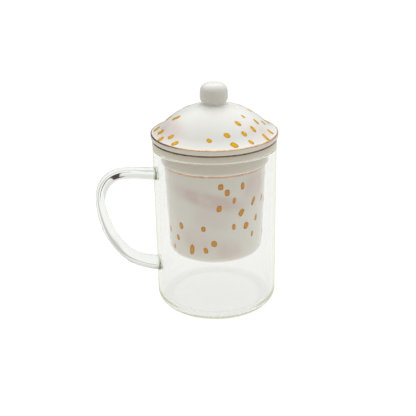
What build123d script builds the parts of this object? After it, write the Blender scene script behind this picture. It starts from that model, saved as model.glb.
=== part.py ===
"""Glass tea infuser mug: a straight glass mug with an ear handle, a porcelain infuser that hangs in its
mouth on a flange, and a domed porcelain lid with a bun-shaped knob that lies on the infuser.

Millimetres. The origin is on the mug's axis at the table, +Z is up and the handle points along -X."""

import os
from math import sqrt

from build123d import *

# Every cut runs this far past the material that it takes away.
overrun = 2.0

# Mug glass
glass_radius = 40.0
glass_height = 109.5
glass_wall = 2.2
glass_floor = 3.6
heel_radius = 8.0
lip_round_share = 0.45

# Ear handle: the reach runs from the wall to the rod's centre line. At the wall, the upper weld hangs below
# the lip and the lower one stands above the table.
rod_radius = 3.65
handle_reach = 36.2
upper_weld_drop = 15.1
lower_weld_height = 31.2
weld_root = 2.5
weld_flare_share = 1.75
# The rod's course from the upper weld round to the lower one. Each row holds shares of the reach, of the
# height between the welds and of the rod's radius.
rod_shares = (
    (0.08, 1.006, 1.08),
    (0.25, 1.022, 1.01),
    (0.48, 1.038, 1.01),
    (0.72, 1.027, 1.00),
    (0.885, 0.965, 0.98),
    (0.975, 0.865, 0.88),
    (1.00, 0.745, 0.80),
    (0.955, 0.575, 0.92),
    (0.85, 0.403, 1.00),
    (0.68, 0.237, 1.03),
    (0.46, 0.107, 1.14),
    (0.22, 0.037, 1.22),
    (0.08, 0.012, 1.30),
)

# Infuser: the flange lies on the glass lip, the spigot hangs inside it and the basket below the spigot.
seat_clearance = 0.1
flange_overhang = 0.2
flange_height = 5.4
flange_round = 1.1
mouth_round = 0.8
spigot_play = 2.8
spigot_height = 9.8
spigot_round = 0.8
spigot_step = 1.95
basket_depth = 71.5
basket_draft = 2.35
basket_heel = 5.5
infuser_wall = 2.8
infuser_floor = 3.0
strainer_hole_radius = 1.5
strainer_pitch = 6.8
strainer_rings = 3
holes_in_first_ring = 6

# Lid: the brim lies on the flange, and a ring under it drops into the infuser's mouth.
brim_overhang = 0.7
brim_height = 3.7
brim_round = 0.9
flare_width = 7.1
flare_fall = 4.8
dome_rise = 18.1
lid_wall = 3.0
lid_ring_play = 0.9
lid_ring_depth = 6.0
lid_ring_wall = 2.8
lid_ring_round = 0.8

# Knob. Each row of knob_shares is a share of its radius and a share of its rise, from foot to top.
knob_radius = 8.85
knob_rise = 14.1
knob_foot_edge = 0.3
knob_foot_round = 1.0
knob_waist_share = 0.88
knob_shares = [(0.955, 0.22), (1.0, 0.41), (0.979, 0.665), (0.915, 0.793), (0.76, 0.91), (0.514, 0.977)]

# Gold bands
gold_width = 0.7
gold_height = 0.6
gold_round = 0.35
rim_gold_drop = 0.3
neck_gold_height = 0.9
neck_gold_depth = 0.3

# Places that follow from the sizes
bore_radius = glass_radius - glass_wall
flange_radius = glass_radius + flange_overhang
flange_bottom = glass_height + seat_clearance
lid_seat = flange_bottom + flange_height
spigot_radius = bore_radius - spigot_play
spigot_bottom = flange_bottom - spigot_height
neck_radius = spigot_radius - spigot_step
basket_bottom = flange_bottom - basket_depth
basket_bottom_radius = neck_radius - basket_draft
basket_slope = basket_draft / (spigot_bottom - basket_bottom)
mouth_radius = neck_radius + basket_slope * (lid_seat - spigot_bottom) - infuser_wall
brim_radius = flange_radius + brim_overhang
brim_top = lid_seat + brim_height
lid_gold_inside = brim_radius - gold_width
lid_gold_bottom = brim_top - gold_height
dome_foot_radius = lid_gold_inside - flare_width
dome_foot = brim_top + flare_fall
dome_sagitta = dome_rise - flare_fall
dome_radius = (dome_foot_radius**2 + dome_sagitta**2) / (2 * dome_sagitta)
dome_centre = brim_top + dome_rise - dome_radius
lid_ring_radius = mouth_radius - lid_ring_play


def turned(corners):
    """Closed outline in the XZ plane. Each corner is a radius, a height and the corner's rounding."""
    with BuildSketch(Plane.XZ) as outline:
        with BuildLine():
            points = [(radius, height) for radius, height, rounding in corners]
            FilletPolyline(points, radius=[rounding for radius, height, rounding in corners], close=True)
        make_face()
    return outline.sketch


def ball_height(radius, ball_radius, ball_centre):
    """Height on the upper half of a ball round the mug's axis."""
    return ball_centre + sqrt(ball_radius**2 - radius**2)


os.makedirs("parts", exist_ok=True)

# Mug glass
with BuildPart() as glass_body:
    lip_round = lip_round_share * glass_wall
    revolve(
        turned(
            [
                (0, 0, 0),
                (glass_radius, 0, heel_radius),
                (glass_radius, glass_height, lip_round),
                (bore_radius, glass_height, lip_round),
                (bore_radius, glass_floor, heel_radius - glass_wall),
                (0, glass_floor, 0),
            ]
        ),
        axis=Axis.Z,
    )
glass_body.part.label = "glass_body"
export_step(glass_body.part, "parts/glass_body.step")

# Ear handle, trimmed to the round of the wall that its two ends are fused to
upper_weld_height = glass_height - upper_weld_drop
weld_span = upper_weld_height - lower_weld_height
root_radius = glass_radius - weld_root
rod_rows = [
    (
        (reach * -handle_reach - glass_radius, lower_weld_height + height * weld_span),
        share * rod_radius,
    )
    for reach, height, share in rod_shares
]
rod_rows.insert(0, ((-root_radius, upper_weld_height), weld_flare_share * rod_radius))
rod_rows.append(((-root_radius, lower_weld_height), weld_flare_share * rod_radius))
with BuildPart() as glass_handle:
    with BuildLine(Plane.XZ) as rod_course:
        Spline([point for point, radius in rod_rows], tangents=[(-1, 0), (1, 0)])
    for (across, height), radius in rod_rows:
        station = Vector(across, 0, height)
        along = rod_course.edge().tangent_at(station)
        with BuildSketch(Plane(station, x_dir=Vector(0, 1, 0), z_dir=along)):
            Circle(radius)
    loft()
    Cylinder(glass_radius, glass_height, align=(Align.CENTER, Align.CENTER, Align.MIN), mode=Mode.SUBTRACT)
glass_handle.part.label = "glass_handle"
export_step(glass_handle.part, "parts/glass_handle.step")

# Infuser: flange, spigot and tapered basket in one casting, with rings of strainer holes in its floor
rim_gold_top = lid_seat - rim_gold_drop
rim_gold_bottom = rim_gold_top - gold_height
rim_gold_inside = flange_radius - gold_width
neck_gold_bottom = spigot_bottom - neck_gold_height
neck_gold_inside = neck_radius - neck_gold_depth
with BuildPart() as infuser_basket:
    inner_floor = basket_bottom + infuser_floor
    revolve(
        turned(
            [
                (0, basket_bottom, 0),
                (basket_bottom_radius, basket_bottom, basket_heel),
                (neck_radius, neck_gold_bottom, 0),
                (neck_gold_inside, neck_gold_bottom, 0),
                (neck_gold_inside, spigot_bottom, 0),
                (spigot_radius, spigot_bottom, spigot_round),
                (spigot_radius, flange_bottom, 0),
                (flange_radius, flange_bottom, flange_round),
                (flange_radius, rim_gold_bottom, 0),
                (rim_gold_inside, rim_gold_bottom, 0),
                (rim_gold_inside, lid_seat, 0),
                (mouth_radius, lid_seat, mouth_round),
                (basket_bottom_radius - infuser_wall, inner_floor, basket_heel - infuser_wall),
                (0, inner_floor, 0),
            ]
        ),
        axis=Axis.Z,
    )
    with BuildSketch(Plane.XY.offset(basket_bottom - overrun)):
        Circle(strainer_hole_radius)
        for ring in range(1, strainer_rings + 1):
            with PolarLocations(ring * strainer_pitch, ring * holes_in_first_ring):
                Circle(strainer_hole_radius)
    extrude(amount=infuser_floor + 2 * overrun, mode=Mode.SUBTRACT)
infuser_basket.part.label = "infuser_basket"
export_step(infuser_basket.part, "parts/infuser_basket.step")

with BuildPart() as infuser_rim_gold_band:
    revolve(
        turned(
            [
                (rim_gold_inside, rim_gold_bottom, 0),
                (flange_radius, rim_gold_bottom, 0),
                (flange_radius, rim_gold_top, gold_round),
                (rim_gold_inside, rim_gold_top, 0),
            ]
        ),
        axis=Axis.Z,
    )
infuser_rim_gold_band.part.label = "infuser_rim_gold_band"
export_step(infuser_rim_gold_band.part, "parts/infuser_rim_gold_band.step")

with BuildPart() as infuser_neck_gold_band:
    revolve(
        turned(
            [
                (neck_gold_inside, neck_gold_bottom, 0),
                (neck_radius, neck_gold_bottom, 0),
                (neck_radius, spigot_bottom, 0),
                (neck_gold_inside, spigot_bottom, 0),
            ]
        ),
        axis=Axis.Z,
    )
infuser_neck_gold_band.part.label = "infuser_neck_gold_band"
export_step(infuser_neck_gold_band.part, "parts/infuser_neck_gold_band.step")

# Knob: a bun with a flattened top on a narrower foot, with a small hollow round where it meets the dome
foot_lift = knob_foot_edge + knob_foot_round
knob_waist = knob_waist_share * knob_radius
knob_foot_radius = knob_waist + knob_foot_round
knob_seat = ball_height(knob_foot_radius, dome_radius, dome_centre)
knob_top = knob_seat + knob_rise
bun_points = [(across * knob_radius, knob_seat + up * knob_rise) for across, up in knob_shares]
with BuildPart() as lid_knob:
    with BuildSketch(Plane.XZ):
        with BuildLine():
            Polyline(
                (0, knob_seat),
                (knob_foot_radius, knob_seat),
                (knob_foot_radius, knob_seat + knob_foot_edge),
            )
            TangentArc(
                (knob_foot_radius, knob_seat + knob_foot_edge),
                (knob_waist, knob_seat + foot_lift),
                tangent=(-1, 0),
            )
            Spline(
                [(knob_waist, knob_seat + foot_lift)] + bun_points + [(0, knob_top)],
                tangents=[(0, 1), (-1, 0)],
            )
            Line((0, knob_top), (0, knob_seat))
        make_face()
    revolve(axis=Axis.Z)
lid_knob.part.label = "lid_knob"
export_step(lid_knob.part, "parts/lid_knob.step")

# Lid: a ball-shaped dome with a flat for the knob, flared out to the brim, and the ring that centres it
with BuildPart() as lid_dome:
    inner_radius = dome_radius - lid_wall
    inner_top = dome_centre + inner_radius
    inner_foot = (lid_ring_radius, ball_height(lid_ring_radius, inner_radius, dome_centre))
    crown_share = 0.5
    outer_middle = crown_share * (knob_foot_radius + dome_foot_radius)
    inner_middle = crown_share * lid_ring_radius
    ring_inside = lid_ring_radius - lid_ring_wall
    ring_bottom = lid_seat - lid_ring_depth
    with BuildSketch(Plane.XZ):
        with BuildLine():
            Line((0, knob_seat), (knob_foot_radius, knob_seat))
            ThreePointArc(
                (knob_foot_radius, knob_seat),
                (outer_middle, ball_height(outer_middle, dome_radius, dome_centre)),
                (dome_foot_radius, dome_foot),
            )
            TangentArc(
                (dome_foot_radius, dome_foot),
                (lid_gold_inside, brim_top),
                tangent=(dome_foot - dome_centre, -dome_foot_radius),
            )
            FilletPolyline(
                [
                    (lid_gold_inside, brim_top),
                    (lid_gold_inside, lid_gold_bottom),
                    (brim_radius, lid_gold_bottom),
                    (brim_radius, lid_seat),
                    (lid_ring_radius, lid_seat),
                    (lid_ring_radius, ring_bottom),
                    (ring_inside, ring_bottom),
                    (ring_inside, lid_seat),
                    inner_foot,
                ],
                radius=[0, 0, brim_round, 0, lid_ring_round, lid_ring_round, 0],
            )
            ThreePointArc(
                inner_foot,
                (inner_middle, ball_height(inner_middle, inner_radius, dome_centre)),
                (0, inner_top),
            )
            Line((0, inner_top), (0, knob_seat))
        make_face()
    revolve(axis=Axis.Z)
lid_dome.part.label = "lid_dome"
export_step(lid_dome.part, "parts/lid_dome.step")

with BuildPart() as lid_gold_band:
    revolve(
        turned(
            [
                (lid_gold_inside, lid_gold_bottom, 0),
                (brim_radius, lid_gold_bottom, 0),
                (brim_radius, brim_top, gold_round),
                (lid_gold_inside, brim_top, 0),
            ]
        ),
        axis=Axis.Z,
    )
lid_gold_band.part.label = "lid_gold_band"
export_step(lid_gold_band.part, "parts/lid_gold_band.step")
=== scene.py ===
import math
import random

import bpy
import numpy as np
from mathutils import Matrix, Vector, noise


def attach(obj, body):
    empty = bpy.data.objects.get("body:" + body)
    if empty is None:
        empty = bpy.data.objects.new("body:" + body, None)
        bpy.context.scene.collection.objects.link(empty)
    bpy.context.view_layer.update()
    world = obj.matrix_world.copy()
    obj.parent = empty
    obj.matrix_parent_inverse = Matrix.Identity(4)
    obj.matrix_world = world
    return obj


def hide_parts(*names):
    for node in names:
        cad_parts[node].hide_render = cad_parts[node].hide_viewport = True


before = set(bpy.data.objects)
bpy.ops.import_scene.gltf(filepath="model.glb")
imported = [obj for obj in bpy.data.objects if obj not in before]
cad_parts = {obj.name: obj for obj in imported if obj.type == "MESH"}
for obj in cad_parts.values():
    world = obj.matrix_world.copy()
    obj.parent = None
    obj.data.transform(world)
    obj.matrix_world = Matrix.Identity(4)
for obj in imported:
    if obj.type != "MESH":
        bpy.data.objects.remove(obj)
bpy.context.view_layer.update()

# A glass tea mug with a porcelain infuser and lid. Lengths are in millimetres here, and become metres where
# Blender takes them.
MM = 0.001

# Glass
GLASS_RADIUS = 40.0
GLASS_HEIGHT = 109.5
GLASS_WALL = 2.2
GLASS_FLOOR = 3.6
HEEL_RADIUS = 8.0
LIP_ROUND = 1.0
GLASS_SHARP = math.radians(22)
BORE = GLASS_RADIUS - GLASS_WALL

# Unevenness of the blown bore: waves that end below the lip, and a swelling behind each weld. Here and below,
# a circle is the radius at which the way round an edge runs through the noise.
WALL_WAVE = 0.05
WAVE_CIRCLE = 1.6
WAVE_RISE = 18.0
TRUE_BELOW_LIP = 4.0
WELD_SWELLING = 0.45
WELD_SWELLING_SPREAD = 3.4

# Handle
ROD_RADIUS = 3.65
HANDLE_REACH = 36.18
UPPER_WELD = 94.4
LOWER_WELD = 31.2
WELD_SINK = 1.1
WELD_FILLET = 1.4
WELD_BITE = 0.35
WELD_BLEND = 7.0
UPPER_ROOT_SHARE = 1.06
LOWER_ROOT_SHARE = 1.30

# The rod's middle line between its roots: shares of the reach, the rise between the welds and the radius
ROD_SHARES = (
    (0.08, 1.006, 1.08),
    (0.25, 1.022, 1.01),
    (0.48, 1.038, 1.01),
    (0.72, 1.027, 1.00),
    (0.885, 0.965, 0.98),
    (0.975, 0.865, 0.88),
    (1.00, 0.745, 0.80),
    (0.955, 0.575, 0.92),
    (0.85, 0.403, 1.00),
    (0.68, 0.237, 1.03),
    (0.46, 0.107, 1.14),
    (0.22, 0.037, 1.22),
    (0.08, 0.012, 1.30),
)

# Infuser
FLANGE_RADIUS = 40.2
FLANGE_BOTTOM = 109.6
FLANGE_ROUND = 1.1
LID_SEAT = 115.0
RIM_ROUND = 1.25
MOUTH_ROUND = 0.9
SPIGOT_RADIUS = 35.0
SPIGOT_BOTTOM = 99.8
SPIGOT_ROUND = 1.7
NECK_RADIUS = 33.05
HOLLOW_ROUND = 0.5
BASKET_BOTTOM = 38.1
BASKET_BOTTOM_RADIUS = 30.7
BASKET_HEEL = 5.5
INFUSER_WALL = 2.8
INFUSER_FLOOR = 3.0
INFUSER_SHARP = math.radians(32)
HOLE_RADIUS = 1.5
HOLE_PITCH = 6.8
HOLE_RINGS = 3
HOLES_IN_FIRST_RING = 6
HOLE_ROUND = 0.5
HOLE_OVERRUN = 1.0
BASKET_SLOPE = (NECK_RADIUS - BASKET_BOTTOM_RADIUS) / (SPIGOT_BOTTOM - BASKET_BOTTOM)
MOUTH_RADIUS = NECK_RADIUS + BASKET_SLOPE * (LID_SEAT - SPIGOT_BOTTOM) - INFUSER_WALL

# Lid
BRIM_RADIUS = 40.9
BRIM_TOP = 118.7
BRIM_FALL = 0.05
BRIM_ROUND = 1.1
BRIM_EDGE_ROUND = 0.6
FLARE_END = 40.2
DOME_FOOT_RADIUS = 33.1
DOME_FOOT = 123.5
DOME_TOP = 136.8
LID_WALL = 3.0
LID_RING_PLAY = 0.9
LID_RING_BOTTOM = 109.0
LID_RING_WALL = 2.8
LID_RING_ROUND = 0.8
LID_RING_OUTER_ROOT = 0.4
LID_RING_INNER_ROOT = 1.0
LID_RING_RADIUS = MOUTH_RADIUS - LID_RING_PLAY
DOME_SAG = DOME_TOP - DOME_FOOT
DOME_RADIUS = (DOME_FOOT_RADIUS**2 + DOME_SAG**2) / (2 * DOME_SAG)
DOME_CENTRE = DOME_TOP - DOME_RADIUS
DOME_INSIDE = DOME_RADIUS - LID_WALL

# Knob, with the points of its outline as shares of its radius and rise
KNOB_RADIUS = 8.85
KNOB_RISE = 14.1
KNOB_WAIST_SHARE = 0.88
KNOB_SEAT_WIDTH = 1.0
KNOB_FOOT_WIDTH = 1.9
KNOB_FOOT_LIFT = 1.5
KNOB_SHARES = ((0.514, 0.977), (0.76, 0.91), (0.915, 0.793), (0.979, 0.665), (1.0, 0.41), (0.955, 0.22))
KNOB_WAIST = KNOB_WAIST_SHARE * KNOB_RADIUS
KNOB_FOOT = KNOB_WAIST + KNOB_FOOT_WIDTH

# Gold lines: thickness, brush marks, and where they begin and end from the edges that they follow
FILM = 0.06
FILM_SINK = 0.08
LINE_WAVER = 0.12
LINE_CIRCLE = 9.0
LINE_BORDERS_APART = 7.0
LINE_FLATNESS = 5
LINE_EDGE_SINK = 0.02
LID_LINE_IN = 0.15
LID_LINE_DOWN = 0.75
RIM_LINE_IN = 1.3
RIM_LINE_DOWN = 1.0
NECK_LINE_OFF = 0.15
NECK_LINE_DOWN = 1.35

# Gold dabs
DAB_FILM = 0.12
DAB_WAVER = 0.16
DAB_CIRCLE = 1.3
DAB_SEED_STEP = 3.7
DAB_BLUNT = 2.6
DAB_CROWN_SHARE = 0.35
DAB_FLATNESS = 7
DAB_EDGE_SINK = 0.03
DAB_WIDTH_SHARES = (0.42, 0.75)
DAB_LEANS = (-14, 14)
SCATTER_TRIES = 4000
SCATTER_RADIUS = 31.0

# Mesh fineness
TURNS = 288
ARC_STEP = math.radians(7)
ROW = 2.0
ROUND_GUARD = 0.15
ROD_STEPS = 1500
ROD_SKIP = 5
ROD_FINE = 2 * WELD_FILLET
ROD_AROUND = 72
HOLE_AROUND = 28
HOLE_BEND_STEPS = 4
KNOB_STEPS = 40
KNOB_FOOT_STEPS = 8
DOME_STEPS = 18
FLARE_STEPS = 8
LINE_ACROSS = 10
DAB_AROUND = 26
DAB_RING_SHARES = (0.4, 0.7, 0.87, 0.96, 1.0)
NEAREST_STEPS = 8000
SLOPE_STEP = 0.05
NEAR = 0.01
NO_LENGTH = 1e-6


def arc_points(centre, radius, start, end):
    """Points on an arc from angle start to angle end, both included."""
    count = max(2, math.ceil(abs(end - start) / ARC_STEP))
    angles = [start + (end - start) * k / count for k in range(count + 1)]
    return [(centre[0] + radius * math.cos(a), centre[1] + radius * math.sin(a)) for a in angles]


def rounded(corners):
    """Outline through corners of (radius, height, rounding), open at both ends."""
    points = []
    last = len(corners) - 1
    for k, (r, z, rounding) in enumerate(corners):
        here = Vector((r, z))
        if k in (0, last) or rounding == 0:
            points.append((r, z))
            continue
        back = (Vector(corners[k - 1][:2]) - here).normalized()
        ahead = (Vector(corners[k + 1][:2]) - here).normalized()
        half = back.angle(ahead) / 2
        reach = rounding / math.tan(half)
        centre = here + (back + ahead).normalized() * (rounding / math.sin(half))
        first, second = here + back * reach - centre, here + ahead * reach - centre
        start = math.atan2(first.y, first.x)
        turn = math.atan2(second.y, second.x) - start
        turn = (turn + math.pi) % (2 * math.pi) - math.pi
        points += arc_points(centre, rounding, start, start + turn)
    return points


def rows(points):
    """The same outline with its long runs divided, closest at their ends to keep shading on the rounds."""
    out = [points[0]]
    for a, b in zip(points, points[1:]):
        a, b = Vector(a), Vector(b)
        length = (b - a).length
        if length < NO_LENGTH:
            continue
        if length > ROW:
            count = math.ceil(length / ROW)
            guard = ROUND_GUARD / length
            shares = sorted({guard, *(k / count for k in range(1, count)), 1 - guard})
            out += [tuple(a.lerp(b, s)) for s in shares]
        out.append(tuple(b))
    return out


def spline(points, start, end, steps):
    """Smooth curve through points of any width, which leaves along start and arrives along end."""
    knots = np.array(points, float)
    count = len(knots)
    spans = np.linalg.norm(np.diff(knots[:, :2], axis=0), axis=1)
    marks = np.concatenate([[0], np.cumsum(spans)])
    weights, sums = np.zeros((count, count)), np.zeros_like(knots)
    weights[0, 0] = weights[-1, -1] = 1
    sums[0, : len(start)], sums[-1, : len(end)] = start, end
    for k in range(1, count - 1):
        before, after = spans[k - 1], spans[k]
        weights[k, k - 1 : k + 2] = after, 2 * (before + after), before
        come, go = knots[k] - knots[k - 1], knots[k + 1] - knots[k]
        sums[k] = 3 * (after * come / before + before * go / after)
    slopes = np.linalg.solve(weights, sums)
    out = []
    for mark in np.linspace(0, marks[-1], steps):
        k = min(count - 2, int(np.searchsorted(marks, mark, side="right")) - 1)
        s = (mark - marks[k]) / spans[k]
        out.append(
            (2 * s**3 - 3 * s**2 + 1) * knots[k]
            + (s**3 - 2 * s**2 + s) * spans[k] * slopes[k]
            + (3 * s**2 - 2 * s**3) * knots[k + 1]
            + (s**3 - s**2) * spans[k] * slopes[k + 1]
        )
    return np.array(out)


def make(name, points, faces, material):
    """A smooth-shaded object from points in millimetres."""
    mesh = bpy.data.meshes.new(name)
    mesh.from_pydata([tuple(c * MM for c in p) for p in points], [], faces)
    mesh.validate()
    mesh.update()
    mesh.polygons.foreach_set("use_smooth", [True] * len(mesh.polygons))
    mesh.materials.append(material)
    thing = bpy.data.objects.new(name, mesh)
    bpy.context.scene.collection.objects.link(thing)
    return thing


def lathe(name, outline, material, wobble=None):
    """Turns an outline of (radius, height) round the axis. With the axis on its left, it runs clockwise."""
    points, faces, rings = [], [], []
    for r, z in outline:
        if r < NO_LENGTH:
            rings.append([len(points)])
            points.append((0, 0, z))
            continue
        rings.append(list(range(len(points), len(points) + TURNS)))
        for k in range(TURNS):
            a = 2 * math.pi * k / TURNS
            out = r + (wobble(r, z, a) if wobble else 0)
            points.append((out * math.cos(a), out * math.sin(a), z))
    for upper, lower in zip(rings, rings[1:]):
        for k in range(TURNS):
            corners = ((upper, k), (lower, k), (lower, k + 1), (upper, k + 1))
            faces.append(list(dict.fromkeys(ring[i % len(ring)] for ring, i in corners)))
    return make(name, points, faces, material)


def tube_faces(base, rings, around):
    """Faces of a tube closed at both ends, whose rings of points follow each other from point base on."""
    faces = []
    for i in range(rings - 1):
        row = base + i * around
        for k in range(around):
            beside = (k + 1) % around
            faces.append((row + k, row + beside, row + around + beside, row + around + k))
    end = base + (rings - 1) * around
    faces.append(tuple(range(base + around - 1, base - 1, -1)))
    faces.append(tuple(range(end, end + around)))
    return faces


def apply_boolean(target, tool, operation):
    """Joins a tool to the target or cuts it out, and takes the tool away."""
    change = target.modifiers.new("join", "BOOLEAN")
    change.operation = operation
    change.solver = "EXACT"
    change.material_mode = "TRANSFER"
    change.object = tool
    bpy.context.view_layer.objects.active = target
    bpy.ops.object.modifier_apply(modifier=change.name)
    bpy.data.objects.remove(tool)


# Nodes: two common runs, and the numbers of sockets that can't be told by name
RISING = (0.0, 1.0)
FALLING = (1.0, 0.0)
MIX_FIRST, MIX_SECOND, MIX_RESULT = 6, 7, 2
COMPARE_WITHIN = 2


def new_material(name):
    """A material without any nodes, and its tree."""
    material = bpy.data.materials.new(name)
    material.use_nodes = True
    material.node_tree.nodes.clear()
    return material, material.node_tree


def add(tree, kind, **settings):
    """A new node: its properties by their own names, its input sockets with _ for a space."""
    node = tree.nodes.new("ShaderNode" + kind)
    for key, value in settings.items():
        if hasattr(node, key):
            setattr(node, key, value)
        else:
            node.inputs[key.replace("_", " ")].default_value = value
    return node


def new_surface(name, **settings):
    """A material with one shader, its tree and that shader."""
    material, tree = new_material(name)
    surface = add(tree, "BsdfPrincipled", **settings)
    tree.links.new(surface.outputs[0], add(tree, "OutputMaterial").inputs["Surface"])
    return material, tree, surface


def noise_node(tree, scale, detail):
    """Noise in the object's own space, with its scale in waves a metre."""
    where = add(tree, "TexCoord")
    cloud = add(tree, "TexNoise", Scale=scale, Detail=detail)
    tree.links.new(where.outputs["Object"], cloud.inputs["Vector"])
    return cloud.outputs["Fac"]


def ranged(tree, value, run, to=RISING):
    """The value's run, carried over smoothly to another run."""
    node = add(tree, "MapRange", interpolation_type="SMOOTHSTEP")
    for k, end in enumerate((*run, *to)):
        node.inputs[k + 1].default_value = end
    tree.links.new(value, node.inputs[0])
    return node.outputs[0]


def clouds(tree, scale, detail, run, to=RISING):
    """Noise whose run is carried over to another run."""
    return ranged(tree, noise_node(tree, scale, detail), run, to)


def mixed(tree, factor, first, second):
    """Mixes two colours, each a socket or a plain colour."""
    node = add(tree, "Mix", data_type="RGBA")
    tree.links.new(factor, node.inputs[0])
    for k, colour in ((MIX_FIRST, first), (MIX_SECOND, second)):
        if isinstance(colour, tuple):
            node.inputs[k].default_value = colour
        else:
            tree.links.new(colour, node.inputs[k])
    return node.outputs[MIX_RESULT]


def maths(tree, operation, a, b):
    """What an operation makes of two values, each a socket or a plain number."""
    node = add(tree, "Math", operation=operation)
    for k, value in enumerate((a, b)):
        if isinstance(value, (int, float)):
            node.inputs[k].default_value = value
        else:
            tree.links.new(value, node.inputs[k])
    return node.outputs[0]


def split(tree, vector):
    """The parts of a vector, by the names of their axes."""
    node = add(tree, "SeparateXYZ")
    tree.links.new(vector, node.inputs[0])
    return node.outputs


def placed(tree, where, centre, halves, rotation):
    """Coordinates from a centre, in half lengths and turned."""
    node = add(
        tree,
        "Mapping",
        vector_type="TEXTURE",
        Location=[c * MM for c in centre],
        Rotation=rotation,
        Scale=[h * MM for h in halves],
    )
    tree.links.new(where, node.inputs["Vector"])
    return node.outputs[0]


def soft_spot(tree, place, run, strength):
    """A spot round the centre of such coordinates, which fades from its strength to nothing."""
    spread = add(tree, "TexGradient", gradient_type="QUADRATIC_SPHERE")
    tree.links.new(place, spread.inputs[0])
    return ranged(tree, spread.outputs["Fac"], run, (0.0, strength))


def bumped(tree, surface, height, distance, strength=1.0):
    """Gives a shader small relief from a height that is worth a distance in millimetres."""
    node = add(tree, "Bump", Strength=strength, Distance=distance * MM)
    tree.links.new(height, node.inputs["Height"])
    tree.links.new(node.outputs[0], surface.inputs["Normal"])


# Glass: colours, and noise as (waves a metre, detail)
WALL_TINT = (0.935, 0.935, 0.935, 1)
ROD_TINT = (0.885, 0.89, 0.88, 1)
GLASS_IOR = 1.47
GLASS_SHADE = (0.94, 0.955, 0.945, 1)
GLASS_DEPTH_TINT = (0.60, 0.68, 0.40, 1)
GLASS_DEPTH_DENSITY = 1.5
GLASS_TRAPPED_AFTER = 44
GLASS_RIPPLE = (60, 1)
GLASS_RIPPLE_HEIGHT = 0.4
GLASS_RIPPLE_STRENGTH = 0.05


def glass_material(name, colour):
    """Clear glass that passes shadow rays, and lets out light that has long been caught between its faces."""
    material, tree = new_material(name)
    out = add(tree, "OutputMaterial")
    surface = add(
        tree, "BsdfPrincipled", Base_Color=colour, Roughness=0.0, IOR=GLASS_IOR, Transmission_Weight=1.0
    )
    clear = add(tree, "BsdfTransparent", Color=GLASS_SHADE)
    path = add(tree, "LightPath")
    caught = maths(tree, "GREATER_THAN", path.outputs["Ray Depth"], GLASS_TRAPPED_AFTER)
    mix = add(tree, "MixShader")
    tree.links.new(maths(tree, "MAXIMUM", path.outputs["Is Shadow Ray"], caught), mix.inputs[0])
    tree.links.new(surface.outputs[0], mix.inputs[1])
    tree.links.new(clear.outputs[0], mix.inputs[2])
    tree.links.new(mix.outputs[0], out.inputs["Surface"])
    tint = add(tree, "VolumeAbsorption", Color=GLASS_DEPTH_TINT, Density=GLASS_DEPTH_DENSITY)
    tree.links.new(tint.outputs[0], out.inputs["Volume"])
    bumped(tree, surface, noise_node(tree, *GLASS_RIPPLE), GLASS_RIPPLE_HEIGHT, GLASS_RIPPLE_STRENGTH)
    return material


# Porcelain: colours, and clouds as (waves a metre, detail, run of the noise, run that it becomes)
WHITE_GLAZE = (0.85, 0.85, 0.825, 1)
WARM_GLAZE = (0.825, 0.815, 0.78, 1)
# Unglazed warm white, also darker than the glaze as painted shade under the lid's brim and the flange
BARE_AND_SHADE = (0.775, 0.745, 0.69, 1)
# Painted shade under each overhang, and painted light on each step's lower edge
BARE_PAINTED_SHADE = (0.70, 0.66, 0.60, 1)
BARE_PAINTED_LIGHT = (0.88, 0.865, 0.82, 1)
BLUSH = (0.745, 0.62, 0.61, 1)
GLAZE_IOR = 1.5
NOISE_RUN = (0.3, 0.7)
WASH_UNEVEN = (70, 3, (0.25, 0.75), (0.45, 1.25))
STRAY_BLUSH = (38, 2, (0.55, 0.80), (0.0, 0.22))
GLAZE_WARMTH = (16, 2, (0.40, 0.65), RISING)
GLAZE_ROUGHNESS = (150, 2, NOISE_RUN, (0.10, 0.17))
GLAZE_RELIEF = (210, 2)
GLAZE_RELIEF_HEIGHT = 0.06
WASH_RUN = (0.0, 0.55)

# The bare part's border, and where on each step its painted light fades out from the lower edge and its
# painted shade sets in towards the upper edge, as shares of the step's rise
BARE_BORDER = 0.4
PAINTED_LIGHT_SHARES = (0.10, 0.32)
PAINTED_SHADE_SHARES = (0.35, 0.80)


def wash_amount(tree, where, washes):
    """How much blush covers each place."""
    uneven = clouds(tree, *WASH_UNEVEN)
    amount = clouds(tree, *STRAY_BLUSH)
    for centre, halves, turn, lean, strength in washes:
        place = placed(tree, where, centre, halves, (0, math.radians(lean), math.radians(turn)))
        amount = maths(tree, "ADD", amount, soft_spot(tree, place, WASH_RUN, strength))
    amount = maths(tree, "MULTIPLY", amount, uneven)
    return maths(tree, "MINIMUM", amount, 1.0)


def bare_colour_and_painted_shade(tree, height, steps):
    """Unglazed white in steps, each painted lighter at its lower edge where floor light would catch it, and
    painted darker towards its upper edge as shade under the overhang above.
    """
    stone = BARE_AND_SHADE
    for low, high in steps:
        rise = high - low
        within = maths(tree, "COMPARE", height, (low + high) / 2 * MM)
        within.node.inputs[COMPARE_WITHIN].default_value = rise / 2 * MM
        painted_light = ranged(tree, height, [(low + share * rise) * MM for share in PAINTED_LIGHT_SHARES], FALLING)
        painted_shade = ranged(tree, height, [(low + share * rise) * MM for share in PAINTED_SHADE_SHARES])
        # Painted shade towards each step's upper edge, then painted light at its lower edge
        stone = mixed(tree, maths(tree, "MULTIPLY", within, painted_shade), stone, BARE_PAINTED_SHADE)
        stone = mixed(tree, maths(tree, "MULTIPLY", within, painted_light), stone, BARE_PAINTED_LIGHT)
    return stone


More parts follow.
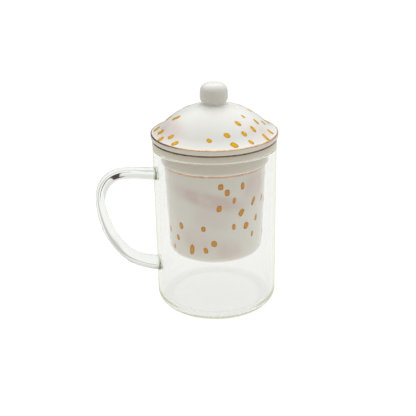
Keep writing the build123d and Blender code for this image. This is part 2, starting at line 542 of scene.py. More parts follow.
def porcelain_material(name, washes, bare_from, steps):
    """Glazed white with soft blush washes, left a warmer bare white above a height, which is also darker
    there as painted shade under the lid and flange and carries painted light and shade on its steps. Each
    wash is a centre, three half lengths, a turn about the upright axis and a lean, both in degrees, and a
    strength. Each step of the bare part is the heights of its lower and upper edges."""
    material, tree, surface = new_surface(name, IOR=GLAZE_IOR)
    where = add(tree, "TexCoord").outputs["Object"]
    amount = wash_amount(tree, where, washes)
    glaze = mixed(tree, clouds(tree, *GLAZE_WARMTH), WHITE_GLAZE, WARM_GLAZE)
    height = split(tree, where)["Z"]
    bare = ranged(tree, height, ((bare_from - BARE_BORDER) * MM, (bare_from + BARE_BORDER) * MM))
    colour = mixed(tree, bare, mixed(tree, amount, glaze, BLUSH), bare_colour_and_painted_shade(tree, height, steps))
    tree.links.new(colour, surface.inputs["Base Color"])
    tree.links.new(clouds(tree, *GLAZE_ROUGHNESS), surface.inputs["Roughness"])
    bumped(tree, surface, noise_node(tree, *GLAZE_RELIEF), GLAZE_RELIEF_HEIGHT)
    return material


# Gold: each pair is the main colour and the darker one
LINE_GOLD = ((0.76, 0.52, 0.33, 1), (0.60, 0.375, 0.22, 1))
NECK_GOLD = ((0.66, 0.40, 0.26, 1), (0.56, 0.33, 0.21, 1))
# Gold darkened as painted shade for the groove under the lid's brim
GROOVE_GOLD_PAINTED_SHADE = ((0.30, 0.20, 0.13, 1), (0.17, 0.105, 0.065, 1))
# Painted reflection of a dark room on the left, towards which the lines darken
GOLD_PAINTED_DARK_REFLECTION = (0.26, 0.17, 0.11, 1)
LINE_STREAK = (320, 3)
LINE_STREAK_RUN = (0.35, 0.7)
LINE_ROUGHNESS = (0.24, 0.42)
LINE_RELIEF_HEIGHT = 0.03
LID_DAB_GOLD = ((0.72, 0.43, 0.012, 1), (0.58, 0.275, 0.004, 1))
BASKET_DAB_GOLD = ((0.70, 0.31, 0.004, 1), (0.55, 0.20, 0.003, 1))
DAB_METALLIC = 0.25
DAB_SPECULAR = 0.1
DAB_GRAIN = (600, 2)
DAB_GRAIN_MIDDLE = 0.5
DAB_BORDER_RUN = (0.35, 1.0)
DAB_ROUGHNESS = (0.30, 0.48)
DAB_RELIEF_HEIGHT = 0.04


def line_material(name, colours, dark_reflection_run):
    """Burnished gold for the painted lines, streaked, and darkened along a run of X as a painted dark
    reflection.
    """
    material, tree, surface = new_surface(name, Metallic=1.0)
    streak = noise_node(tree, *LINE_STREAK)
    where = add(tree, "TexCoord").outputs["Object"]
    # Painted dark reflection along the run of X
    dark_reflection = ranged(tree, split(tree, where)["X"], [x * MM for x in dark_reflection_run])
    colour = mixed(tree, ranged(tree, streak, LINE_STREAK_RUN), *colours)
    tree.links.new(mixed(tree, dark_reflection, colour, GOLD_PAINTED_DARK_REFLECTION), surface.inputs["Base Color"])
    tree.links.new(ranged(tree, streak, NOISE_RUN, LINE_ROUGHNESS), surface.inputs["Roughness"])
    bumped(tree, surface, streak, LINE_RELIEF_HEIGHT)
    return material


def dab_material(name, colours):
    """Ochre gold of the dabs, darker towards their borders."""
    material, tree, surface = new_surface(name, Metallic=DAB_METALLIC, Specular_IOR_Level=DAB_SPECULAR)
    border = add(tree, "Attribute", attribute_name="border")
    grain = noise_node(tree, *DAB_GRAIN)
    dark = maths(tree, "ADD", border.outputs["Fac"], maths(tree, "SUBTRACT", grain, DAB_GRAIN_MIDDLE))
    tree.links.new(mixed(tree, ranged(tree, dark, DAB_BORDER_RUN), *colours), surface.inputs["Base Color"])
    tree.links.new(ranged(tree, grain, NOISE_RUN, DAB_ROUGHNESS), surface.inputs["Roughness"])
    bumped(tree, surface, grain, DAB_RELIEF_HEIGHT)
    return material


# Washes on the porcelain: centre, half lengths, turn, lean, strength
LID_WASHES = (
    ((-33, -8, 124), (20, 26, 16), 0, 0, 0.8),
    ((20, -28, 122), (24, 24, 15), 0, 0, 0.5),
    ((10, 30, 124), (26, 18, 12), 20, 0, 0.7),
    ((-22, 24, 122), (16, 16, 12), 0, 0, 0.5),
)
INFUSER_WASHES = (
    ((-12, -28, 83), (56, 30, 10.5), -24, 14, 0.9),
    ((18, -27, 90), (20, 20, 18), 0, 0, 0.6),
    ((-21, -23, 55), (22, 20, 17), 0, 0, 0.4),
    ((-1, -31, 48), (20, 20, 13), 0, 0, 0.5),
    ((-11, -30, 71), (28, 20, 15), 0, 0, 0.35),
    ((20, 24, 80), (40, 28, 10), 130, 14, 0.85),
    ((-24, 20, 60), (22, 20, 16), 0, 0, 0.6),
)

# The infuser is bare from its spigot up, with painted light and shade on the spigot's and the flange's steps,
# and the lid nowhere, so its bare part begins far above it
INFUSER_STEPS = ((SPIGOT_BOTTOM, FLANGE_BOTTOM), (FLANGE_BOTTOM, LID_SEAT))
ABOVE_ALL = 2 * GLASS_HEIGHT

# Where along X the gold lines are darkened as a painted dark reflection: the lid's and the flange's on the
# left, the neck's nowhere
DARK_REFLECTION_LEFT = (-24, -39)
DARK_REFLECTION_NOWHERE = (-60, -80)

wall_glass = glass_material("clear_glass", WALL_TINT)
rod_glass = glass_material("clear_glass_rod", ROD_TINT)
lid_porcelain = porcelain_material("porcelain_lid", LID_WASHES, ABOVE_ALL, ())
infuser_porcelain = porcelain_material("porcelain_infuser", INFUSER_WASHES, SPIGOT_BOTTOM, INFUSER_STEPS)
lid_line_gold = line_material("gold_lid_line", LINE_GOLD, DARK_REFLECTION_LEFT)
groove_gold_painted_shade = line_material("gold_groove_painted_shade", GROOVE_GOLD_PAINTED_SHADE, DARK_REFLECTION_LEFT)
neck_gold = line_material("gold_neck_line", NECK_GOLD, DARK_REFLECTION_NOWHERE)
lid_dab_gold = dab_material("gold_lid_dab", LID_DAB_GOLD)
basket_dab_gold = dab_material("gold_basket_dab", BASKET_DAB_GOLD)


# Glass mug: body and handle fused at two welds
def wall_wave(r, z, a):
    """The bore of a blown wall isn't quite true, and it stands in a little behind the welds."""
    if abs(r - BORE) > NEAR or z > GLASS_HEIGHT - TRUE_BELOW_LIP:
        return 0.0
    place = Vector((WAVE_CIRCLE * math.cos(a), WAVE_CIRCLE * math.sin(a), z / WAVE_RISE))
    wave = WALL_WAVE * noise.noise(place)
    for weld in (UPPER_WELD, LOWER_WELD):
        away = math.hypot(z - weld, r * math.remainder(a - math.pi, 2 * math.pi)) / WELD_SWELLING_SPREAD
        wave -= WELD_SWELLING * math.exp(-(away**2))
    return wave


glass_outline = rows(
    rounded(
        [
            (0, GLASS_FLOOR, 0),
            (BORE, GLASS_FLOOR, HEEL_RADIUS - GLASS_WALL),
            (BORE, GLASS_HEIGHT, LIP_ROUND),
            (GLASS_RADIUS, GLASS_HEIGHT, LIP_ROUND),
            (GLASS_RADIUS, 0, HEEL_RADIUS),
            (0, 0, 0),
        ]
    )
)
mug_glass = lathe("mug_glass", glass_outline, wall_glass, wall_wave)


def rod_line():
    """The handle's middle line from its upper root to its lower one, as (x, z, share of the radius)."""
    root = WELD_SINK - GLASS_RADIUS
    rise = UPPER_WELD - LOWER_WELD
    course = [(root, UPPER_WELD, UPPER_ROOT_SHARE)]
    for reach, up, thick in ROD_SHARES:
        course.append((-GLASS_RADIUS - reach * HANDLE_REACH, LOWER_WELD + up * rise, thick))
    course.append((root, LOWER_WELD, LOWER_ROOT_SHARE))
    return spline(course, (-1, 0), (1, 0), ROD_STEPS)


def rod():
    """The handle: a tapered rod whose ends spread into the wall, with more rows of points at the welds."""
    line = rod_line()
    along = np.gradient(line[:, :2], axis=0)
    along /= np.linalg.norm(along, axis=1)[:, None]
    gaps = -line[:, 0] - GLASS_RADIUS
    keep = [k for k, gap in enumerate(gaps) if gap < ROD_FINE or k % ROD_SKIP == 0]
    points = []
    for (x, z, thick), (run, climb) in zip(line[keep], along[keep]):
        gap = -x - GLASS_RADIUS
        radius = thick * ROD_RADIUS
        inside = max(gap + WELD_BITE, 0.0)
        if inside < WELD_FILLET:
            radius += WELD_FILLET - math.sqrt(WELD_FILLET**2 - (WELD_FILLET - max(inside, WELD_BITE)) ** 2)
        follow = min(1, max(0, 1 - gap / WELD_BLEND)) ** 2
        for k in range(ROD_AROUND):
            a = 2 * math.pi * k / ROD_AROUND
            y = radius * math.sin(a)
            side = radius * math.cos(a)
            bow = GLASS_RADIUS - math.sqrt(GLASS_RADIUS**2 - y * y)
            points.append((x - climb * side + follow * bow, y, z + run * side))
    return make("rod", points, tube_faces(0, len(keep), ROD_AROUND), rod_glass)


apply_boolean(mug_glass, rod(), "UNION")
mug_glass.data.polygons.foreach_set("use_smooth", [True] * len(mug_glass.data.polygons))
mug_glass.data.set_sharp_from_angle(angle=GLASS_SHARP)
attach(mug_glass, "mug")
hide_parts("glass_body", "glass_handle")

# Infuser
infuser_outline = rows(
    rounded(
        [
            (0, BASKET_BOTTOM + INFUSER_FLOOR, 0),
            (BASKET_BOTTOM_RADIUS - INFUSER_WALL, BASKET_BOTTOM + INFUSER_FLOOR, BASKET_HEEL - INFUSER_WALL),
            (MOUTH_RADIUS, LID_SEAT, MOUTH_ROUND),
            (FLANGE_RADIUS - FILM, LID_SEAT, RIM_ROUND),
            (FLANGE_RADIUS - FILM, FLANGE_BOTTOM, FLANGE_ROUND),
            (SPIGOT_RADIUS, FLANGE_BOTTOM, HOLLOW_ROUND),
            (SPIGOT_RADIUS, SPIGOT_BOTTOM, SPIGOT_ROUND),
            (NECK_RADIUS, SPIGOT_BOTTOM, HOLLOW_ROUND),
            (BASKET_BOTTOM_RADIUS, BASKET_BOTTOM, BASKET_HEEL),
            (0, BASKET_BOTTOM, 0),
        ]
    )
)
infuser = lathe("infuser_porcelain", infuser_outline, infuser_porcelain)


def hole_cutter():
    """One mesh of all the strainer holes, each spread at both ends so that its edges come out rounded."""
    low, high = BASKET_BOTTOM, BASKET_BOTTOM + INFUSER_FLOOR
    wide = HOLE_RADIUS + HOLE_ROUND
    bend = [math.radians(90) * k / HOLE_BEND_STEPS for k in range(HOLE_BEND_STEPS + 1)]
    side = [(wide, low - HOLE_OVERRUN)]
    side += [(wide - HOLE_ROUND * math.sin(a), low + HOLE_ROUND * (1 - math.cos(a))) for a in bend]
    side += [(r, low + high - z) for r, z in reversed(side)]
    places = [(0, 0)]
    for ring in range(1, HOLE_RINGS + 1):
        for k in range(ring * HOLES_IN_FIRST_RING):
            a = 2 * math.pi * k / (ring * HOLES_IN_FIRST_RING)
            places.append((ring * HOLE_PITCH * math.cos(a), ring * HOLE_PITCH * math.sin(a)))
    points, faces = [], []
    for x, y in places:
        faces += tube_faces(len(points), len(side), HOLE_AROUND)
        for r, z in side:
            for k in range(HOLE_AROUND):
                a = 2 * math.pi * k / HOLE_AROUND
                points.append((x + r * math.cos(a), y + r * math.sin(a), z))
    return make("holes", points, faces, infuser_porcelain)


apply_boolean(infuser, hole_cutter(), "DIFFERENCE")
infuser.data.set_sharp_from_angle(angle=INFUSER_SHARP)
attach(infuser, "infuser")
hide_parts("infuser_basket")


# Lid
def dome_height(r):
    """Height of the dome's outside at a radius."""
    return DOME_CENTRE + math.sqrt(DOME_RADIUS**2 - r * r)


def lid_height(r):
    """Height of the lid's top between knob and brim, near enough to find a place on its outline."""
    if r < DOME_FOOT_RADIUS:
        return dome_height(r)
    return DOME_FOOT + (BRIM_TOP - DOME_FOOT) * (r - DOME_FOOT_RADIUS) / (FLARE_END - DOME_FOOT_RADIUS)


def knob_points():
    """The knob's outline from its top to its waist, and a hollow bend from there onto the dome."""
    base = dome_height(KNOB_WAIST + KNOB_SEAT_WIDTH)
    seat = dome_height(KNOB_FOOT)
    waist = (KNOB_WAIST, base + KNOB_FOOT_LIFT)
    bun = [(0, base + KNOB_RISE)]
    bun += [(r * KNOB_RADIUS, base + h * KNOB_RISE) for r, h in KNOB_SHARES]
    bun.append(waist)
    points = [tuple(p) for p in spline(bun, (1, 0), (0, -1), KNOB_STEPS)]
    slope = -KNOB_FOOT / (seat - DOME_CENTRE)
    bend = (KNOB_WAIST, seat - slope * KNOB_FOOT_WIDTH)
    foot = (KNOB_FOOT, seat)
    for k in range(1, KNOB_FOOT_STEPS + 1):
        s = k / KNOB_FOOT_STEPS
        place = [(1 - s) ** 2 * a + 2 * s * (1 - s) * b + s * s * c for a, b, c in zip(waist, bend, foot)]
        points.append(tuple(place))
    return points


def dome_arc(radius, start, end):
    """Points after the first on an arc about the dome's centre, with its angles measured from the axis."""
    angles = [start + (end - start) * k / DOME_STEPS for k in range(1, DOME_STEPS + 1)]
    return [(radius * math.sin(a), DOME_CENTRE + radius * math.cos(a)) for a in angles]


def flare_points(lean):
    """Points after the first on the hollow arc that carries the dome's foot on smoothly to the brim."""
    out = Vector((math.sin(lean), math.cos(lean)))
    foot = Vector((DOME_FOOT_RADIUS, DOME_FOOT))
    gap = Vector((FLARE_END - DOME_FOOT_RADIUS, BRIM_TOP - DOME_FOOT))
    radius = gap.length_squared / (2 * gap.dot(out))
    centre = foot + out * radius
    first = foot - centre
    begin = math.atan2(first.y, first.x)
    turn = 2 * math.asin(gap.length / (2 * radius))
    angles = [begin + turn * k / FLARE_STEPS for k in range(1, FLARE_STEPS + 1)]
    return [(centre.x + radius * math.cos(a), centre.y + radius * math.sin(a)) for a in angles]


def lid_outline():
    """From the knob's top out over dome and brim, and back under the lid to the axis."""
    lean = math.asin(DOME_FOOT_RADIUS / DOME_RADIUS)
    inner_lean = math.asin(LID_RING_RADIUS / DOME_INSIDE)
    inner_foot = DOME_CENTRE + math.sqrt(DOME_INSIDE**2 - LID_RING_RADIUS**2)
    dome = dome_arc(DOME_RADIUS, math.asin(KNOB_FOOT / DOME_RADIUS), lean)
    *top, flare_end = knob_points() + dome + flare_points(lean)
    brim = rounded(
        [
            (*flare_end, 0),
            (BRIM_RADIUS - FILM, BRIM_TOP - BRIM_FALL, BRIM_EDGE_ROUND),
            (BRIM_RADIUS - FILM, LID_SEAT, BRIM_ROUND),
            (LID_RING_RADIUS, LID_SEAT, LID_RING_OUTER_ROOT),
            (LID_RING_RADIUS, LID_RING_BOTTOM, LID_RING_ROUND),
            (LID_RING_RADIUS - LID_RING_WALL, LID_RING_BOTTOM, LID_RING_ROUND),
            (LID_RING_RADIUS - LID_RING_WALL, LID_SEAT, LID_RING_INNER_ROOT),
            (LID_RING_RADIUS, inner_foot, 0),
        ]
    )
    return rows(top + brim + dome_arc(DOME_INSIDE, inner_lean, 0))


lid_line = lid_outline()
lid = lathe("lid_porcelain", lid_line, lid_porcelain)
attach(lid, "lid")
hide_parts("lid_dome", "lid_knob")


# Gold on the porcelain
class Surface:
    """A turned surface, addressed by length along its outline and angle round the axis."""

    def __init__(self, outline):
        self.points = np.array(outline, float)
        step = np.linalg.norm(np.diff(self.points, axis=0), axis=1)
        self.length = np.concatenate([[0], np.cumsum(step)])

    def nearest(self, r, z):
        """Length along the outline of the place nearest to a radius and a height."""
        fine = np.linspace(0, self.length[-1], NEAREST_STEPS)
        gaps = [np.interp(fine, self.length, self.points[:, k]) - v for k, v in enumerate((r, z))]
        return fine[np.hypot(*gaps).argmin()]

    def at(self, s, angle, lift):
        """The point at a place, lifted off the surface."""
        r, z = (np.interp(s, self.length, self.points[:, k]) for k in (0, 1))
        back, ahead = s - SLOPE_STEP, s + SLOPE_STEP
        dr, dz = (np.interp(ahead, self.length, c) - np.interp(back, self.length, c) for c in self.points.T)
        size = math.hypot(dr, dz)
        r, z = r - dz / size * lift, z + dr / size * lift
        return (r * math.cos(angle), r * math.sin(angle), z)

    def radius(self, s):
        """Distance of a place from the axis."""
        return float(np.interp(s, self.length, self.points[:, 0]))


def gold_line(name, surface, start, end, seed, material):
    """A painted line round a turned edge, with a brush's slightly uneven borders."""
    points, faces = [], []
    for k in range(TURNS):
        a = 2 * math.pi * k / TURNS
        near = Vector((LINE_CIRCLE * math.cos(a), LINE_CIRCLE * math.sin(a), seed))
        first = start + LINE_WAVER * noise.noise(near)
        last = end + LINE_WAVER * noise.noise(near + Vector((0, 0, LINE_BORDERS_APART)))
        for i in range(LINE_ACROSS):
            share = i / (LINE_ACROSS - 1)
            lift = FILM * (1 - abs(2 * share - 1) ** LINE_FLATNESS)
            if i in (0, LINE_ACROSS - 1):
                lift -= LINE_EDGE_SINK
            points.append(surface.at(first + (last - first) * share, a, lift))
        points.append(surface.at(last, a, -FILM_SINK))
        points.append(surface.at(first, a, -FILM_SINK))
    loop = LINE_ACROSS + 2
    for k in range(TURNS):
        here, beside = k * loop, (k + 1) % TURNS * loop
        for i in range(loop):
            j = (i + 1) % loop
            faces.append((here + i, here + j, beside + j, beside + i))
    return make(name, points, faces, material)


def dab_lift(share):
    """Height of a dab's skin at a share of the way from its middle to its border."""
    edge = share**DAB_FLATNESS
    fall = DAB_CROWN_SHARE * share**2 + (1 - DAB_CROWN_SHARE) * edge
    return DAB_FILM * (1 - fall) - DAB_EDGE_SINK * edge


def dab_border(angle, seed):
    """Distance of the border from the middle of a blunt, slightly uneven dab of half lengths 1."""
    c, s = math.cos(angle), math.sin(angle)
    waver = DAB_WAVER * noise.noise(Vector((DAB_CIRCLE * c, DAB_CIRCLE * s, seed)))
    return (1 + waver) / (abs(c) ** DAB_BLUNT + abs(s) ** DAB_BLUNT) ** (1 / DAB_BLUNT)


def gold_dabs(name, surface, layout, seed, material):
    """Brush dabs: blunt ovals of thick gold that follow the surface. Each row of the layout is the place
    along the outline, the angle in degrees, the length down the outline, the width and the lean in
    degrees."""
    rings = [(share, dab_lift(share)) for share in DAB_RING_SHARES] + [(1.0, -DAB_FILM)]
    points, faces, border = [], [], []
    for count, (s, angle, long, wide, lean) in enumerate(layout):
        middle, tilt = math.radians(angle), math.radians(lean)
        base = len(points)
        points.append(surface.at(s, middle, DAB_FILM))
        for share, lift in rings:
            for k in range(DAB_AROUND):
                t = 2 * math.pi * k / DAB_AROUND
                reach = share * dab_border(t, seed + DAB_SEED_STEP * count)
                u, v = reach * long / 2 * math.cos(t), reach * wide / 2 * math.sin(t)
                u, v = u * math.cos(tilt) - v * math.sin(tilt), u * math.sin(tilt) + v * math.cos(tilt)
                points.append(surface.at(s + u, middle + v / surface.radius(s), lift))
        points.append(surface.at(s, middle, -DAB_FILM))
        border += [0.0] + [share for share, _ in rings for _ in range(DAB_AROUND)] + [1.0]
        for k in range(DAB_AROUND):
            beside = (k + 1) % DAB_AROUND
            row = base + 1
            faces.append((base, row + k, row + beside))
            for _ in rings[1:]:
                below = row + DAB_AROUND
                faces.append((row + k, below + k, below + beside, row + beside))
                row = below
            faces.append((row + k, len(points) - 1, row + beside))
    dabs = make(name, points, faces, material)
    dabs.data.attributes.new("border", "FLOAT", "POINT").data.foreach_set("value", border)
    return dabs


def scattered(count, angles, places, spacing, lengths, seed):
    """Dabs for the side that the photo doesn't show, none too near another: radius or height, angle, length,
    width and lean."""
    draw = random.Random(seed)
    found = []
    for _ in range(SCATTER_TRIES):
        if len(found) == count:
            break
        place, angle = draw.uniform(*places), draw.uniform(*angles)
        long = draw.uniform(*lengths)
        row = (place, angle, long, long * draw.uniform(*DAB_WIDTH_SHARES), draw.uniform(*DAB_LEANS))
        gaps = [math.hypot(place - f[0], math.radians(angle - f[1]) * SCATTER_RADIUS) for f in found]
        if all(gap > spacing for gap in gaps):
            found.append(row)
    return found


lid_surface = Surface(lid_line)
infuser_surface = Surface(infuser_outline)

lid_gold_line = gold_line(
    "lid_gold_line",
    lid_surface,
    start=lid_surface.nearest(FLARE_END - LID_LINE_IN, BRIM_TOP),
    end=lid_surface.nearest(BRIM_RADIUS, BRIM_TOP - LID_LINE_DOWN),
    seed=1.5,
    material=lid_line_gold,
)
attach(lid_gold_line, "lid")
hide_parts("lid_gold_band")

# The flange's gold line, darkened as painted shade in the groove under the brim
rim_gold_line = gold_line(
    "rim_gold_line",
    infuser_surface,
    start=infuser_surface.nearest(FLANGE_RADIUS - RIM_LINE_IN, LID_SEAT),
    end=infuser_surface.nearest(FLANGE_RADIUS, LID_SEAT - RIM_LINE_DOWN),
    seed=23.5,
    material=groove_gold_painted_shade,
)
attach(rim_gold_line, "infuser")
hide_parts("infuser_rim_gold_band")

neck_gold_line = gold_line(
    "neck_gold_line",
    infuser_surface,
    start=infuser_surface.nearest(NECK_RADIUS + NECK_LINE_OFF, SPIGOT_BOTTOM - NECK_LINE_OFF),
    end=infuser_surface.nearest(NECK_RADIUS, SPIGOT_BOTTOM - NECK_LINE_DOWN),
    seed=45.5,
    material=neck_gold,
)
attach(neck_gold_line, "infuser")
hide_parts("infuser_neck_gold_band")

# Dabs on the lid: radius, angle, length, width, lean. The first rows are listed, the rest are scattered.
LID_DABS = [
    (25, 181, 6.8, 3.4, -35),
    (29, 160, 6.0, 3.0, 0),
    (38, 145, 3.6, 2.4, 5),
    (37, 164, 5.6, 5.4, -5),
    (35.5, 181, 5.4, 4.3, -30),
    (38.5, 193, 4.8, 4.0, -5),
    (35, 203, 4.6, 3.2, -45),
    (38, 213.5, 4.9, 3.4, -50),
    (34, 247.5, 4.0, 2.8, 55),
    (31.5, 267, 4.4, 3.3, 45),
    (37.5, 271.5, 5.4, 3.8, 45),
    (25.5, 288, 4.8, 2.8, 25),
    (22, 308, 3.4, 2.0, 5),
    (32, 287.5, 4.4, 2.9, 30),
    (31, 303.5, 5.2, 3.0, 5),
    (28.5, 320.5, 5.0, 2.8, -10),
    (37.5, 289.5, 4.4, 2.6, 25),
    (38, 310.5, 7.4, 3.0, -10),
    (37, 326, 5.2, 3.4, -5),
    (31.5, 334, 4.4, 2.6, 0),
]
LID_DABS += scattered(
    count=22, angles=(-14, 136), places=(20, 38), spacing=7.0, lengths=(3.4, 6.0), seed=11
)
lid_dabs = gold_dabs(
    "lid_gold_dabs",
    lid_surface,
    layout=[(lid_surface.nearest(r, lid_height(r)), *rest) for r, *rest in LID_DABS],
    seed=2.0,
    material=lid_dab_gold,
)
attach(lid_dabs, "lid")

# Dabs on the basket, set in the same way: height, angle, length, width, lean
BASKET_DABS = [
    (92.5, 259, 4.4, 3.5, 0),
    (88.5, 266, 4.6, 3.4, 5),
    (91.5, 284, 5.2, 2.6, 0),
    (82.5, 274, 4.2, 2.2, -10),
    (78, 257, 4.6, 3.4, -10),
    (73.5, 283, 5.4, 3.6, -25),
    (79, 300, 6.4, 2.6, -25),
    (78, 318, 4.8, 2.4, -20),
    (66.5, 306, 4.8, 2.6, -15),
    (63.5, 290, 5.0, 3.6, -20),
    (64.5, 274, 4.4, 2.4, 0),
    (56, 300, 4.2, 2.0, -5),
    (63, 210, 4.9, 3.2, 10),
    (63.5, 239, 4.0, 3.0, 0),
    (53.5, 203, 4.2, 2.8, 15),
    (48, 224, 7.4, 3.4, -5),
    (48.5, 241, 4.6, 3.0, 15),
    (53.5, 251, 4.4, 3.9, 0),
    (45.5, 194, 3.4, 2.2, 10),
    (56, 185, 4.6, 2.8, 0),
]
BASKET_DABS += scattered(
    count=26, angles=(-30, 172), places=(45, 95), spacing=9.0, lengths=(3.2, 6.2), seed=5
)


def basket_radius(z):
    """Radius of the basket's outside at a height."""
    return NECK_RADIUS - BASKET_SLOPE * (SPIGOT_BOTTOM - z)


basket_dabs = gold_dabs(
    "infuser_gold_dabs",
    infuser_surface,
    layout=[(infuser_surface.nearest(basket_radius(z), z), *rest) for z, *rest in BASKET_DABS],
    seed=60.0,
    material=basket_dab_gold,
)
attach(basket_dabs, "infuser")

# Camera: angles in radians, and lens and sensor in millimetres, as Blender takes them
CAMERA_AZIMUTH = math.radians(-17.0)
CAMERA_DISTANCE = 498.5
CAMERA_HEIGHT = 272.5
CAMERA_PITCH = 0.3944
CAMERA_YAW = -0.0099
CAMERA_ROLL = -0.0183
CAMERA_LENS = 70.09
SENSOR = 36.0


def make_camera():
    """The camera, set up in front of the mug and then taken round it by its azimuth."""
    data = bpy.data.cameras.new("camera")
    data.sensor_width = SENSOR
    data.lens = CAMERA_LENS
    camera = bpy.data.objects.new("camera", data)
    bpy.context.scene.collection.objects.link(camera)
    yaw, pitch = CAMERA_YAW, CAMERA_PITCH
    ahead = Vector((math.sin(yaw) * math.cos(pitch), math.cos(yaw) * math.cos(pitch), -math.sin(pitch)))
    right = Vector((math.cos(yaw), -math.sin(yaw), 0))
    up = right.cross(ahead)
    c, s = math.cos(CAMERA_ROLL), math.sin(CAMERA_ROLL)
    right, up = c * right + s * up, c * up - s * right
    place = Matrix((right, up, -ahead)).transposed().to_4x4()
    place.translation = Vector((0, -CAMERA_DISTANCE, CAMERA_HEIGHT)) * MM
    camera.matrix_world = Matrix.Rotation(CAMERA_AZIMUTH, 4, "Z") @ place
    bpy.context.scene.camera = camera


make_camera()

# Floor: its colours to the camera, through the glass, in gloss and in what it throws on the object
FLOOR_HALF = 6000
FLOOR_LEVEL = -0.1
FLOOR_WHITE = (0.82, 0.82, 0.82, 1)
FLOOR_THROUGH_GLASS = (0.79, 0.795, 0.775, 1)
FLOOR_EDGE_THROUGH_GLASS = (0.60, 0.605, 0.59, 1)
FLOOR_UNDER_HEEL = (0.71, 0.715, 0.695, 1)
FLOOR_GLOSS = (0.46, 0.45, 0.31, 1)
FLOOR_FAR_GLOSS = (0.12, 0.12, 0.11, 1)
FLOOR_BOUNCE_NEAR = (0.865, 0.80, 0.68, 1)
FLOOR_BOUNCE_FAR = (0.38, 0.35, 0.29, 1)
FLOOR_MATT = (0.20, 0.20, 0.20, 1)

# Rings round the axis over which one colour of the floor turns into the next
BOUNCE_RING = (100, 400)
GLOSS_RING = (280, 700)
EDGE_RING = (340, 440)
HEEL_SHADE_BEGINS = (27, 32)
HEEL_SHADE_ENDS = (36, 44)

# Dark things of the studio that only the handle shows, placed from the camera: a strip that widens from its
# tip as it runs off behind the mug, and a soft bar. They show only to rays of a depth below DARK_WITHIN.
DARK = (0.022, 0.010, 0.010, 1)
DARK_WITHIN = 4
STRIP_TIP = (-69.6, 139.7, 0)
STRIP_SCALE = (1, 1, 1)
STRIP_TURN = 14.2
STRIP_SPREAD = (0.055, 0.085)
STRIP_FADE = (20, 75)
BAR_CENTRE = (52, 288, 0)
BAR_HALVES = (35.5, 308, 100)
BAR_TURN = -33
BAR_RUN = (0.0, 0.15)
BAR_STRENGTH = 0.42


def on_floor(tree, where, centre, halves, turn):
    """Coordinates on the floor from a centre, in half lengths, turned from the camera's direction."""
    centre = Matrix.Rotation(CAMERA_AZIMUTH, 3, "Z") @ Vector(centre)
    return placed(tree, where, centre, halves, (0, 0, CAMERA_AZIMUTH + math.radians(turn)))


def dark_things(tree, where):
    """How far the strip and the bar cover each place on the floor."""
    from_tip = split(tree, on_floor(tree, where, STRIP_TIP, STRIP_SCALE, STRIP_TURN))
    side, along = maths(tree, "ABSOLUTE", from_tip["X"], 0), from_tip["Y"]
    strip = ranged(tree, maths(tree, "DIVIDE", side, along), STRIP_SPREAD, FALLING)
    strip = maths(tree, "MULTIPLY", strip, ranged(tree, along, STRIP_FADE))
    bar = soft_spot(tree, on_floor(tree, where, BAR_CENTRE, BAR_HALVES, BAR_TURN), BAR_RUN, BAR_STRENGTH)
    return strip, bar


def floor_material():
    """Matt paper that glows. It is plain white to the camera, warmer in what it throws on the object, and has
    a shade under the heel and the studio's dark things where it is seen through the glass."""
    material, tree = new_material("floor")
    out = add(tree, "OutputMaterial")
    where = add(tree, "TexCoord").outputs["Object"]
    reach = add(tree, "VectorMath", operation="LENGTH")
    tree.links.new(where, reach.inputs[0])

    def ring(run, to=RISING):
        return ranged(tree, reach.outputs["Value"], [r * MM for r in run], to)

    path = add(tree, "LightPath")
    light = mixed(tree, ring(BOUNCE_RING), FLOOR_BOUNCE_NEAR, FLOOR_BOUNCE_FAR)
    gloss = mixed(tree, ring(GLOSS_RING), FLOOR_GLOSS, FLOOR_FAR_GLOSS)
    light = mixed(tree, path.outputs["Is Glossy Ray"], light, gloss)
    through = mixed(tree, ring(EDGE_RING), FLOOR_THROUGH_GLASS, FLOOR_EDGE_THROUGH_GLASS)
    shade = maths(tree, "MULTIPLY", ring(HEEL_SHADE_BEGINS), ring(HEEL_SHADE_ENDS, FALLING))
    through = mixed(tree, shade, through, FLOOR_UNDER_HEEL)
    matt = FLOOR_MATT
    few = maths(tree, "LESS_THAN", path.outputs["Ray Depth"], DARK_WITHIN)
    few = maths(tree, "MULTIPLY", few, path.outputs["Is Transmission Ray"])
    for thing in dark_things(tree, where):
        cover = maths(tree, "MULTIPLY", few, thing)
        through = mixed(tree, cover, through, DARK)
        matt = mixed(tree, cover, matt, DARK)
    light = mixed(tree, path.outputs["Is Transmission Ray"], light, through)
    light = mixed(tree, path.outputs["Is Camera Ray"], light, FLOOR_WHITE)
    glow = add(tree, "Emission")
    tree.links.new(light, glow.inputs["Color"])
    paper = add(tree, "BsdfDiffuse")
    tree.links.new(matt, paper.inputs["Color"])
    both = add(tree, "AddShader")
    tree.links.new(glow.outputs[0], both.inputs[0])
    tree.links.new(paper.outputs[0], both.inputs[1])
    tree.links.new(both.outputs[0], out.inputs["Surface"])
    return material


floor = make(
    "floor",
    [(x * FLOOR_HALF, y * FLOOR_HALF, FLOOR_LEVEL) for x, y in ((-1, -1), (1, -1), (1, 1), (-1, 1))],
    [(0, 1, 2, 3)],
    floor_material(),
)

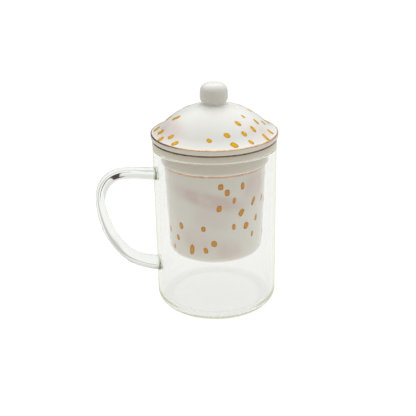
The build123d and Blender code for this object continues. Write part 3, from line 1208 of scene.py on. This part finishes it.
# Light: a bright ceiling that leans away from the camera. To the porcelain's shading the room round it is dim
# and warm, to gloss it is dark on the left, and to what the glass shows it is a light tent. The camera sees
# it white.
LIGHT_LEAN = math.radians(22)
CEILING = (1.95, 1.99, 1.99, 1)
ROOM = (0.22, 0.203, 0.17, 1)
ROOM_RIGHT = (0.62, 0.63, 0.63, 1)
GLOSS_ROOM = (0.55, 0.54, 0.50, 1)
GLOSS_LEFT = (0.10, 0.09, 0.085, 1)
GLOSS_CEILING = (1.35, 1.35, 1.33, 1)
TENT = (0.92, 0.925, 0.91, 1)
TENT_SKIRT = (0.82, 0.82, 0.80, 1)
CAMERA_WHITE = (1.0, 1.0, 1.0, 1.0)

# Directions seen from the camera, and runs of the cosine to them over which one colour turns into the next
RIGHT = (1, 0, 0)
UP = (0, 0, 1)
TO_CEILING = (0, math.sin(LIGHT_LEAN), math.cos(LIGHT_LEAN))
CEILING_RUN = (0.40, 0.80)
ROOM_RIGHT_RUN = (0.45, 0.95)
ROOM_LOW_RUN = (0.10, 0.50)
GLOSS_LEFT_RUN = (-0.35, 0.15)
GLOSS_CEILING_RUN = (0.30, 0.75)
TENT_RUN = (0.10, 0.55)

# The dark strip's far end, which stands up a little over the floor
STRIP_END = (-0.225, 0.972, 0.05)
STRIP_END_SPREAD = (0.991, 0.9955)


def make_world():
    """The light from all round, which differs by the kind of ray that meets it."""
    world = bpy.data.worlds.new("studio")
    bpy.context.scene.world = world
    world.use_nodes = True
    tree = world.node_tree
    tree.nodes.clear()
    where = add(tree, "TexCoord")

    def towards(axis, run, to=RISING):
        node = add(tree, "VectorMath", operation="DOT_PRODUCT")
        node.inputs[1].default_value = Matrix.Rotation(CAMERA_AZIMUTH, 3, "Z") @ Vector(axis)
        tree.links.new(where.outputs["Generated"], node.inputs[0])
        return ranged(tree, node.outputs["Value"], run, to)

    low_right = maths(tree, "MULTIPLY", towards(RIGHT, ROOM_RIGHT_RUN), towards(UP, ROOM_LOW_RUN, FALLING))
    room = mixed(tree, low_right, ROOM, ROOM_RIGHT)
    shading = mixed(tree, towards(TO_CEILING, CEILING_RUN), room, CEILING)
    walls = mixed(tree, towards(RIGHT, GLOSS_LEFT_RUN), GLOSS_LEFT, GLOSS_ROOM)
    gloss = mixed(tree, towards(UP, GLOSS_CEILING_RUN), walls, GLOSS_CEILING)
    tent = mixed(tree, towards(UP, TENT_RUN), TENT_SKIRT, TENT)
    path = add(tree, "LightPath")
    few = maths(tree, "LESS_THAN", path.outputs["Ray Depth"], DARK_WITHIN)
    strip_end = towards(STRIP_END, STRIP_END_SPREAD)
    tent = mixed(tree, maths(tree, "MULTIPLY", few, strip_end), tent, DARK)
    light = mixed(tree, path.outputs["Is Glossy Ray"], shading, gloss)
    light = mixed(tree, path.outputs["Is Transmission Ray"], light, tent)
    light = mixed(tree, path.outputs["Is Camera Ray"], light, CAMERA_WHITE)
    sky = add(tree, "Background")
    tree.links.new(light, sky.inputs["Color"])
    tree.links.new(sky.outputs[0], add(tree, "OutputWorld").inputs["Surface"])


make_world()

# Diffuse rays pass the glass by, so that the porcelain in it is lit evenly
mug_glass.visible_diffuse = False

# Bounces enough for light that is caught at the welds
BOUNCES = 96
scene = bpy.context.scene
scene.view_settings.view_transform = "Standard"
scene.cycles.use_denoising = True
scene.cycles.max_bounces = BOUNCES
scene.cycles.glossy_bounces = BOUNCES
scene.cycles.transmission_bounces = BOUNCES
